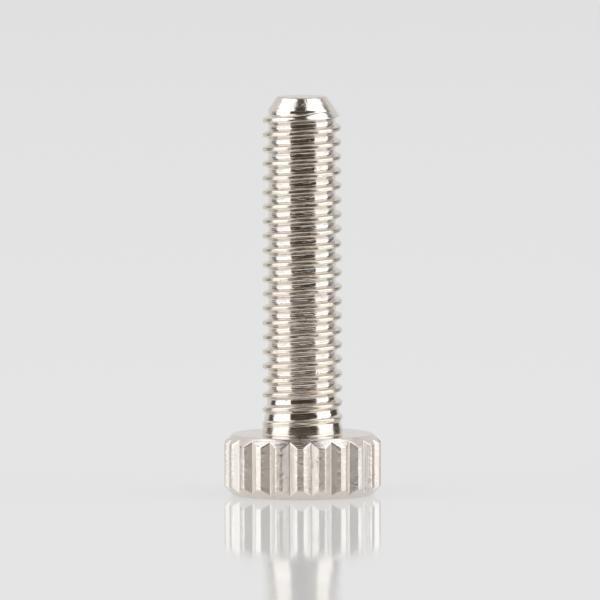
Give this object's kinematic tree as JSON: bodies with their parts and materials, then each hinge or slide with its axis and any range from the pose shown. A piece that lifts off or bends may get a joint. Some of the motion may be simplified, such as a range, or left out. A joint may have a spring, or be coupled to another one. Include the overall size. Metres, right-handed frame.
{
  "type": "thumb screw",
  "caption": "Metal thumb screw: a short round head with V grooves cut along its edge for the fingers, and a long fully threaded shank with a coned tip.",
  "frame": {"origin": "middle of the outer end of the head, which the screw stands on", "axes": "+Z along the screw's axis from the head to the tip; the grooves round the head start on +X"},
  "size_m": [0.0076, 0.0076, 0.0193],
  "materials": {
    "plated_metal": "polished"
  },
  "bodies": {
    "root": {"thumb_screw": "plated_metal"}
  },
  "joints": []
}
